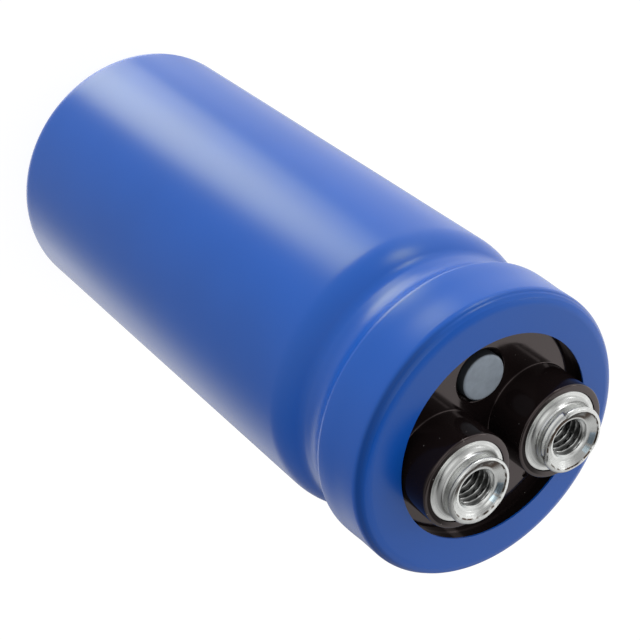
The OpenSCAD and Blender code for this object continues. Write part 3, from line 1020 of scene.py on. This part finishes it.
@dataclass
class ScrewTerminal:
    """A turned terminal: flange, waisted post, turned lip, dish and tapped hole."""

    side: Side
    finish: Material
    dish_shift: Spot
    foot: float = 84.1
    flange_r: float = 4.85
    flange_t: float = 0.25
    flange_edge: float = 0.07
    fillet: float = 0.75
    step: float = 0.05
    fillet_gap: float = 0.04
    waist_r: float = 3.78
    lip_r: float = 4.0
    lip_round: float = 0.34
    lip_inside: Spot = (0.06, 0.08)
    dish_r: float = 3.5
    dish_floor_r: float = 2.62
    mouth_drop: float = 0.6
    flare: float = 0.9
    dent_drop: Spot = (0.9, 0.3)
    dent_margin: float = 0.4
    dent_scale: float = 2.2
    dent: Spot = (0.05, 0.03)
    burr_scale: float = 9.0
    burr: float = 0.02
    gone: Ends = (98.0, 104.0, 182.0, 196.0)
    gone_depth: tuple[float, float, float] = (0.34, 0.16, 0.1)
    hidden_r: float = 3.2
    deck_under_shank: float = 2.9
    blind_wall: float = 1.0
    lip_rise: float = 0.14
    chord: float = 0.2
    seam: float = 2e-7
    around: int = 160
    top: float = field(init=False)
    shank: float = field(init=False)
    tip: float = field(init=False)

    def __post_init__(self) -> None:
        """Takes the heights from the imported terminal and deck."""
        self.top = node_top(f"{self.side.label}_terminal") + self.lip_rise
        self.shank = node_low("terminal_deck") + self.deck_under_shank
        self.tip = self.shank + self.blind_wall

    def outline(self, bore: ThreadedBore) -> Outline:
        """Outline of the turned metal from the shank's end to the top of the thread.

        Args:
            bore: The tapped hole.

        Returns:
            The outline's points, up the outside and down into the mouth.
        """
        seat = self.foot + self.flange_t
        rise = self.waist_r + self.step
        lip_z = self.top - self.lip_round
        return (
            [(0.0, self.shank), (self.hidden_r, self.shank)]
            + [(self.hidden_r, self.foot), (self.flange_r, self.foot)]
            + arc((self.flange_r - self.flange_edge, seat - self.flange_edge), self.flange_edge, 0, 90, 4)
            + arc((rise + self.fillet, seat + self.fillet), self.fillet, 270, 184, 12)
            + [(self.waist_r, seat + self.fillet + self.fillet_gap), (self.waist_r, lip_z - self.flare)]
            + [(self.waist_r + 0.3 * (self.lip_r - self.waist_r), lip_z - 0.5 * self.flare)]
            + arc((self.lip_r - self.lip_round, lip_z), self.lip_round, 0, 80, 10)
            + [(self.dish_r + self.lip_inside[0], self.top), (self.dish_r, self.top - self.lip_inside[1])]
            + [(self.dish_floor_r, self.top - self.mouth_drop), (bore.root, bore.top)]
        )

    def hammer(self, turn: float, r: float, z: float) -> Spot:
        """Gives the lip its dents, and the right terminal the stretch where the lip has gone.

        Args:
            turn: Angle round the terminal.
            r: Radius of the point, in millimetres.
            z: Height of the point.

        Returns:
            The changed radius and height.
        """
        up = smooth(z, *(self.top - drop for drop in self.dent_drop))
        up *= smooth(r, self.dish_floor_r, self.dish_floor_r + self.dent_margin)
        if up <= 0:
            return r, z
        x, y = math.cos(turn), math.sin(turn)
        wide, fine = self.dent_scale, self.burr_scale
        dent = noise.noise(Vector((wide * x + 5 * self.side.value, wide * y, 0.3)))
        burr = noise.noise(Vector((fine * x, fine * y, 4.0 + self.side.value)))
        if r < self.dish_r + 0.1:
            r += up * (self.dish_shift[0] * x + self.dish_shift[1] * y)
        r += up * self.dent[0] * dent
        z += up * (self.dent[1] * dent + self.burr * burr)
        if self.side is Side.RIGHT:
            angle = math.degrees(turn) % 360
            starts, whole, ebbs, ends = self.gone
            gone = smooth(angle, starts, whole) * (1 - smooth(angle, ebbs, ends))
            outside, inside, drop = self.gone_depth
            r -= gone * up * (outside if r > self.dish_r else inside)
            z -= gone * up * drop
        return r, z

    def build(self) -> None:
        """Turns the outside, winds the thread, closes the hole's end and dresses it."""
        bore = ThreadedBore(self.around)
        mesh = bmesh.new()
        lathe(mesh, refine(self.outline(bore), self.chord), self.around, wobble=self.hammer)
        lathe(mesh, [(bore.crest, bore.bottom), (0.0, self.tip)], self.around)
        wall = bore.build(self.finish)
        mesh.from_mesh(wall)
        bpy.data.meshes.remove(wall)
        bmesh.ops.remove_doubles(mesh, verts=mesh.verts, dist=self.seam)
        bmesh.ops.translate(mesh, verts=mesh.verts, vec=(self.side.axis[0] * MM, 0, 0))
        post = finish_mesh(mesh, f"{self.side.label}_post")
        place(post, self.finish, "terminal_metal", f"{self.side.label}_terminal")


@dataclass
class TerminalDeck:
    """The black header: sunk deck, recess ring, pillars, vent seat and dimple."""

    finish: Material
    recess_r: float = 12.75
    deck_drop: float = 1.6
    pillar_r: float = 5.7
    pillar_h: float = 5.25
    top_edge: float = 0.2
    root_fillet: float = 0.1
    pocket_r: float = 4.9
    pocket_depth: float = 0.35
    bore_r: float = 3.2
    seat_r: float = 3.15
    seat_round: float = 0.15
    seat_depth: float = 1.6
    apron: float = 0.08
    vent_r: float = 1.9
    dimple_at: Spot = (5.41, -8.8)
    dimple_r: float = 0.42
    dimple_depth: float = 0.5
    ring_r: float = 13.9
    chord: float = 0.7
    seat_chord: float = 0.6
    wall_chord: float = 0.4
    around: int = 160
    seat_around: int = 96
    dimple_around: int = 32
    mesh: Mesh = field(init=False)
    rim: float = field(init=False)
    low: float = field(init=False)

    def __post_init__(self) -> None:
        """Starts the mesh, and takes the rim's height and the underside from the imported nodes."""
        self.mesh = bmesh.new()
        self.rim = node_top("insulating_sleeve") - FILM
        self.low = node_low("terminal_deck")

    @property
    def deck(self) -> float:
        """Height of the deck's face, in millimetres."""
        return self.rim + FILM - self.deck_drop

    @property
    def pillar_foot(self) -> float:
        """Radius at which a pillar meets the deck's face, in millimetres."""
        return self.pillar_r + self.root_fillet + self.apron

    @property
    def seat_mouth(self) -> float:
        """Radius at which the vent seat meets the deck's face, in millimetres."""
        return self.seat_r + self.seat_round + self.apron

    def ring(self, radius: float, height: float, centre: Spot, around: int) -> Edges:
        """Adds a loose ring of edges.

        Args:
            radius: The ring's radius, in millimetres.
            height: Its height.
            centre: Where it stands.
            around: How many edges it has.

        Returns:
            The ring's edges.
        """
        x, y = centre
        turns = [math.tau * i / around for i in range(around)]
        spots = [(x + radius * math.cos(t), y + radius * math.sin(t), height) for t in turns]
        verts = [self.mesh.verts.new(Vector(spot) * MM) for spot in spots]
        return [self.mesh.edges.new((verts[i - 1], verts[i])) for i in range(around)]

    def fill(self, edges: Edges) -> None:
        """Fills the area between loose rings of edges."""
        bmesh.ops.triangle_fill(self.mesh, use_beauty=True, use_dissolve=False, edges=edges)

    def floor(self) -> None:
        """Fills the deck's face, between the recess wall and all that stands on it or sinks into it."""
        edges = self.ring(self.recess_r, self.deck, OFF_CENTRE, self.around)
        for side in Side:
            edges += self.ring(self.pillar_foot, self.deck, side.axis, self.around)
        edges += self.ring(self.seat_mouth, self.deck, VENT_AT, self.seat_around)
        edges += self.ring(self.dimple_r, self.deck, self.dimple_at, self.dimple_around)
        self.fill(edges)

    def pillar(self, side: Side) -> None:
        """Turns a pillar, from its root on the deck to the bore through it.

        Args:
            side: Which pillar.
        """
        top = self.deck + self.pillar_h
        root = (self.pillar_r + self.root_fillet, self.deck + self.root_fillet)
        outline = [(self.pillar_foot, self.deck)]
        outline += arc(root, self.root_fillet, 270, 180, 5)
        outline += arc((self.pillar_r - self.top_edge, top - self.top_edge), self.top_edge, 0, 90, 5)
        outline += [(self.pocket_r, top), (self.pocket_r, top - self.pocket_depth)]
        outline += [(self.bore_r, top - self.pocket_depth), (self.bore_r, self.low)]
        lathe(self.mesh, refine(outline, self.chord), self.around, side.axis)

    def sunk(self) -> None:
        """Turns the vent seat and the dimple."""
        seat = [(self.seat_mouth, self.deck)]
        brow = (self.seat_r + self.seat_round, self.deck - self.seat_round)
        seat += arc(brow, self.seat_round, 90, 180, 4)
        seat += [(self.seat_r, self.deck - self.seat_depth), (self.vent_r, self.deck - self.seat_depth)]
        seat += [(self.vent_r, self.low)]
        lathe(self.mesh, refine(seat, self.seat_chord), self.seat_around, VENT_AT)
        dimple = [(self.dimple_r, self.deck), (0.75 * self.dimple_r, self.deck - 0.7 * self.dimple_depth),
                  (0.0, self.deck - self.dimple_depth)]
        lathe(self.mesh, dimple, self.dimple_around, self.dimple_at)

    def build(self) -> None:
        """Joins the deck's forms into one piece and dresses it."""
        self.floor()
        for side in Side:
            self.pillar(side)
        self.sunk()
        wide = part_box("terminal_deck")[1].x / MM
        shoulder = node_low("rim_gasket")
        wall = [(self.recess_r, self.deck), (self.recess_r, self.rim)]
        lathe(self.mesh, refine(wall, self.wall_chord), self.around, OFF_CENTRE)
        inner = self.ring(self.recess_r, self.rim, OFF_CENTRE, self.around)
        inner += self.ring(self.ring_r, self.rim, (0.0, 0.0), self.around)
        self.fill(inner)
        rim = [(self.ring_r, self.rim), (self.ring_r, shoulder), (wide, shoulder), (wide, self.low)]
        lathe(self.mesh, refine(rim, self.chord), self.around)
        bmesh.ops.remove_doubles(self.mesh, verts=self.mesh.verts, dist=WELD)
        self.fill([e for e in self.mesh.edges if e.is_boundary and self.is_under(e)])
        place(finish_mesh(self.mesh, "black_deck"), self.finish, "black_moulding", "terminal_deck")

    def is_under(self, edge: bmesh.types.BMEdge) -> bool:
        """Whether an edge lies in the deck's underside."""
        return all(abs(vert.co.z / MM - self.low) < LEVEL for vert in edge.verts)


@dataclass
class VentPlug:
    """The grey rubber plug in the deck."""

    finish: Material
    head_r: float = 2.75
    edge: float = 0.35
    proud: float = 0.65
    seat: float = 1.6
    nose_r: float = 1.5
    nose_h: float = 1.1
    barb_r: float = 2.4
    barb_h: float = 1.4
    neck_r: float = 1.9
    chord: float = 0.4
    around: int = 96

    def build(self) -> None:
        """Turns the plug with its rounded head and dresses it."""
        foot, top = node_low("vent_plug"), node_top("vent_plug")
        seat = top - self.proud - self.seat
        outline = [(0.0, foot), (self.nose_r, foot), (self.barb_r, foot + self.nose_h)]
        outline += [(self.barb_r, foot + self.barb_h), (self.neck_r, foot + self.barb_h)]
        outline += [(self.neck_r, seat), (self.head_r, seat)]
        outline += arc((self.head_r - self.edge, top - self.edge), self.edge, 0, 90, 8)
        outline += [(0.0, top)]
        mesh = bmesh.new()
        lathe(mesh, refine(outline, self.chord), self.around, VENT_AT)
        place(finish_mesh(mesh, "vent_plug_head"), self.finish, "grey_rubber", "vent_plug")


class HiddenParts:
    """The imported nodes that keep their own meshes: the can, the seal and the roll with its fittings."""

    def dress(self, finish: Material, *nodes: str) -> None:
        """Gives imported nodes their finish.

        Args:
            finish: The material.
            nodes: The nodes' names.
        """
        for name in nodes:
            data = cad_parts[name].data
            data.materials.clear()
            data.materials.append(finish)
            log.info("%s: packed mesh, %d faces, finish %s", name, len(data.polygons), finish.name)

    def build(self, metals: dict[Side, Material]) -> None:
        """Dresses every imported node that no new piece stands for.

        Args:
            metals: The turned metal of each side's terminal, which its washer shares.
        """
        can = DrawnAluminium("can_aluminium", (0.78, 0.79, 0.80), 0.34, 1.0)
        self.dress(can.build(), "can")
        # The seal's lowest edge takes the painted shade of the side
        seal = SoftRubber("seal_rubber", (0.03, 0.03, 0.032), 0.7, side=(0.0, 0.16))
        self.dress(seal.build(), "rim_gasket")
        foil = RolledFoil("tab_foil", (0.80, 0.80, 0.81), 0.3, 1.0)
        self.dress(foil.build(), *(f"{side.label}_tab" for side in Side))
        board = FibreBoard("insulator_board", (0.36, 0.22, 0.11), 0.75)
        self.dress(board.build(), "top_insulator", "base_insulator")
        paper = WoundPaper("winding_paper", (0.62, 0.52, 0.36), 0.8)
        self.dress(paper.build(), "foil_winding")
        tape = TapeFilm("closing_tape", (0.46, 0.30, 0.12), 0.22)
        self.dress(tape.build(), "winding_tape")
        for side in Side:
            self.dress(metals[side], f"{side.label}_rivet_washer")


@dataclass(frozen=True)
class SoftGlow:
    """A soft-edged patch of light in the surroundings, seen from the object."""

    towards: Triple
    inner: float
    outer: float
    strength: float


@dataclass
class Studio:
    """Floor, surroundings and camera."""

    ambient: float = 0.335
    darkest: float = 0.02
    glows: tuple[SoftGlow, ...] = (
        SoftGlow((0.159, 0.488, -0.858), 14.5, 18.0, 2.72),
        SoftGlow((0.088, 0.592, -0.801), 4.6, 14.2, 3.22),
        SoftGlow((1.000, 0.022, -0.007), 47.4, 73.2, 0.67),
        SoftGlow((-0.061, -0.504, -0.861), 4.9, 30.0, 0.815),
        SoftGlow((0.161, -0.684, 0.711), 26.3, 49.6, 0.30),
        SoftGlow((-0.404, 0.823, -0.399), 31.1, 91.9, 0.435),
        SoftGlow((0.46, 0.885, -0.09), 5.0, 11.0, 5.0),
        SoftGlow((0.30, 0.06, -0.95), 13.0, 18.0, 1.4),
        SoftGlow((-0.11, -0.46, -0.88), 6.0, 13.0, 0.5),
        SoftGlow((0.38, -0.42, -0.82), 5.0, 10.0, 1.6),
        SoftGlow((0.62, -0.10, 0.78), 6.0, 22.0, -0.2),
        SoftGlow((0.79, 0.11, 0.59), 4.0, 6.0, 3.6),
        SoftGlow((-0.45, -0.15, 0.87), 10.0, 24.0, -0.5),
        SoftGlow((-0.35, 0.55, 0.76), 12.0, 34.0, 0.8),
    )
    camera_at: Triple = (-0.086902, 0.117417, 0.196503)
    camera_right: Triple = (0.82407, -0.0992, 0.55773)
    camera_up: Triple = (0.38711, 0.81741, -0.42659)
    lens: float = 96.23
    sensor: float = 36.0
    clip: Spot = (0.01, 20.0)
    floor_size: float = 6.0
    floor_gap: float = 0.00002
    floor_glow: float = 0.93
    floor_colour: float = 0.15

    def surroundings(self) -> None:
        """Makes the world: white to the camera, soft patches of light to everything else."""
        world = bpy.data.worlds.new("studio")
        bpy.context.scene.world = world
        world.use_nodes = True
        sheet = NodeSheet(world.node_tree)
        towards = sheet.add("ShaderNodeTexCoord").outputs["Generated"]
        level: object = self.ambient
        for glow in self.glows:
            near = sheet.vector("DOT_PRODUCT", towards, tuple(Vector(glow.towards).normalized()))
            edge = (math.cos(math.radians(glow.outer)), math.cos(math.radians(glow.inner)))
            level = sheet.math("ADD", level, sheet.step(near, *edge, 0.0, glow.strength))
        level = sheet.math("MAXIMUM", level, self.darkest)
        light = sheet.add("ShaderNodeBackground", Color=(1, 1, 1, 1), Strength=level)
        white = sheet.add("ShaderNodeBackground", Color=(1, 1, 1, 1), Strength=1.0)
        seen = sheet.add("ShaderNodeLightPath").outputs["Is Camera Ray"]
        both = sheet.add("ShaderNodeMixShader", i0=seen, i1=light.outputs[0], i2=white.outputs[0])
        sheet.add("ShaderNodeOutputWorld", Surface=both.outputs[0])

    def floor(self) -> None:
        """Makes the white floor, which takes the shadow and leaves the light round the object alone."""
        half, level = self.floor_size / 2, -self.floor_gap
        mesh = bpy.data.meshes.new("floor")
        corners = [(-half, -half, level), (half, -half, level), (half, half, level), (-half, half, level)]
        mesh.from_pydata(corners, [], [(0, 1, 2, 3)])
        obj = bpy.data.objects.new("floor", mesh)
        bpy.context.scene.collection.objects.link(obj)
        obj.visible_shadow = False
        obj.visible_diffuse = False
        obj.visible_glossy = False
        material = bpy.data.materials.new("floor_white")
        material.use_nodes = True
        sheet = NodeSheet(material.node_tree)
        paint = sheet.add("ShaderNodeBsdfDiffuse", Color=(self.floor_colour,) * 3 + (1,))
        seen = sheet.add("ShaderNodeLightPath").outputs["Is Camera Ray"]
        lift = sheet.add("ShaderNodeEmission", Color=(1, 1, 1, 1),
                         Strength=sheet.math("MULTIPLY", seen, self.floor_glow))
        both = sheet.add("ShaderNodeAddShader", i0=paint.outputs[0], i1=lift.outputs[0])
        sheet.add("ShaderNodeOutputMaterial", Surface=both.outputs[0])
        mesh.materials.append(material)

    def camera(self) -> None:
        """Places the camera where the photograph was taken from."""
        data = bpy.data.cameras.new("camera")
        data.sensor_width = self.sensor
        data.lens = self.lens
        data.clip_start, data.clip_end = self.clip
        obj = bpy.data.objects.new("camera", data)
        bpy.context.scene.collection.objects.link(obj)
        right, up = Vector(self.camera_right), Vector(self.camera_up)
        back = right.cross(up).normalized()
        turn = Matrix((right.normalized(), up.normalized(), back)).transposed()
        obj.matrix_world = Matrix.Translation(self.camera_at) @ turn.to_4x4()
        bpy.context.scene.camera = obj

    def build(self) -> None:
        """Sets the stage."""
        bpy.context.scene.view_settings.view_transform = "Standard"
        self.surroundings()
        self.floor()
        self.camera()


def main() -> None:
    """Builds the stage and the capacitor's pieces."""
    logging.basicConfig(level=logging.INFO, format="%(name)s %(message)s")
    Studio().build()
    film = ShrunkFilm("sleeve_film", (0.0050, 0.098, 0.515), 0.27, tint=(1.0, 1.0, 0.12))
    ShrinkSleeve(film.build()).build()
    moulding = Moulding("deck_moulding", (0.009, 0.006, 0.006), 0.09, ior=1.65, tint=(1.0, 0.82, 0.80))
    TerminalDeck(moulding.build()).build()
    # The side of each terminal's lip that takes painted shade
    shaded_lip = {Side.LEFT: (172.0, 42.0, 34.0), Side.RIGHT: (148.0, 48.0, 40.0)}
    shift = {Side.LEFT: (-0.04, 0.2), Side.RIGHT: (0.0, 0.0)}
    metals = {}
    for side in Side:
        metal = TurnedMetal(f"{side.label}_turned_metal", (0.70, 0.71, 0.695), 0.26, 1.0,
                            axis_x=side.axis[0], lip_shade_side=shaded_lip[side], dish_shift=shift[side])
        metals[side] = metal.build()
        ScrewTerminal(side, metals[side], shift[side]).build()
    rubber = SoftRubber("plug_rubber", (0.31, 0.36, 0.42), 0.6)
    VentPlug(rubber.build()).build()
    HiddenParts().build(metals)


if __name__ == "__main__":
    main()
